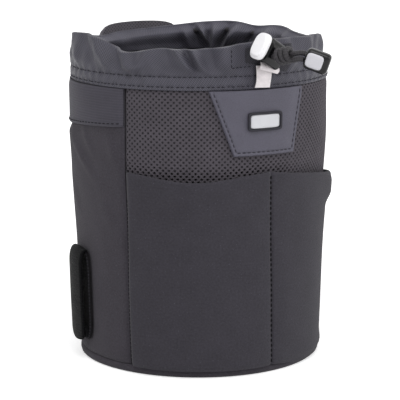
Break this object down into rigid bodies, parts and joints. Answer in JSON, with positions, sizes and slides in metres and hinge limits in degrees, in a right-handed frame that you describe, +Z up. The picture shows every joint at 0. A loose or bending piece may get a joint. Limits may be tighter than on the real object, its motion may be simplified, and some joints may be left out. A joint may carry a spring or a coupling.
{
  "type": "lens pouch",
  "caption": "Padded drawstring pouch for a camera lens, with a gathered collar, a spring cord lock, a stretch front pocket and belt loops with hook-and-loop tongues.",
  "frame": {"origin": "middle of the base's underside, on the axis of the walls' widest line", "axes": "+Z up through the mouth, -Y out of the front pocket, +X to the right when the front is faced"},
  "size_m": [0.144, 0.1674, 0.1696],
  "materials": {
    "stretch_knit": "matte stretch knit",
    "foam": "closed-cell foam sheet",
    "lining": "smooth woven lining",
    "air_mesh": "perforated spacer mesh",
    "ripstop": "ripstop weave",
    "neoprene": "matte stretch neoprene",
    "twill": "fine diagonal twill with a slight sheen",
    "black_plastic": "glossy moulded plastic",
    "white_plastic": "satin moulded plastic",
    "grey_plastic": "satin moulded plastic",
    "spring_steel": "drawn wire",
    "cord_braid": "braided cord",
    "label_cloth": "creased woven label",
    "grained_leather": "grained synthetic leather",
    "black_rubber": "moulded rubber",
    "pale_enamel": "satin enamel",
    "coated_web": "coated webbing",
    "hook_tape": "hook and loop tape"
  },
  "bodies": {
    "pouch": {"base_panel": "stretch_knit", "base_pad": "foam", "base_lining": "lining", "front_panel": "air_mesh", "left_side_panel": "stretch_knit", "right_side_panel": "stretch_knit", "back_panel": "stretch_knit", "foam_sleeve": "foam", "lining_sleeve": "lining", "left_patch": "ripstop", "right_patch": "ripstop", "front_pocket": "neoprene", "collar": "twill", "slot_facing": "twill", "back_pad": "air_mesh", "lock_body": "black_plastic", "lock_spring": "spring_steel", "drawcord": "cord_braid", "care_label": "label_cloth", "badge_patch": "grained_leather", "badge_frame": "black_rubber", "badge_plate": "pale_enamel", "left_loop_base": "coated_web", "left_loop_fleece": "hook_tape", "right_loop_base": "coated_web", "right_loop_fleece": "hook_tape"},
    "lock_button": {"lock_button": "white_plastic"},
    "pull": {"cord_tail_core": "cord_braid", "cord_tail_wrap": "cord_braid", "cord_end_shell": "black_plastic", "cord_end_face": "grey_plastic"},
    "left_tongue": {"left_tongue": "coated_web", "left_tongue_hook": "hook_tape"},
    "right_tongue": {"right_tongue": "coated_web", "right_tongue_hook": "hook_tape"}
  },
  "joints": [
    {"name": "button_press", "type": "slide", "parent": "pouch", "child": "lock_button", "axis": [0.8606, 0.2306, -0.454], "range_m": [0, 0.002], "stiffness_N_per_m": 600, "springref_m": -0.002, "deforming": ["lock_spring"]},
    {"name": "cord_pull", "type": "slide", "parent": "pouch", "child": "pull", "axis": [0.1787, -0.9717, -0.1547], "range_m": [0, 0.12]},
    {"name": "left_tongue_open", "type": "hinge", "parent": "pouch", "child": "left_tongue", "pos_m": [-0.06516, 0.00907, 0.05993], "axis": [0.1478, 0.989, 0], "range_deg": [0, 120]},
    {"name": "right_tongue_open", "type": "hinge", "parent": "pouch", "child": "right_tongue", "pos_m": [0.06516, 0.00907, 0.05993], "axis": [0.1478, -0.989, 0], "range_deg": [0, 120]}
  ]
}
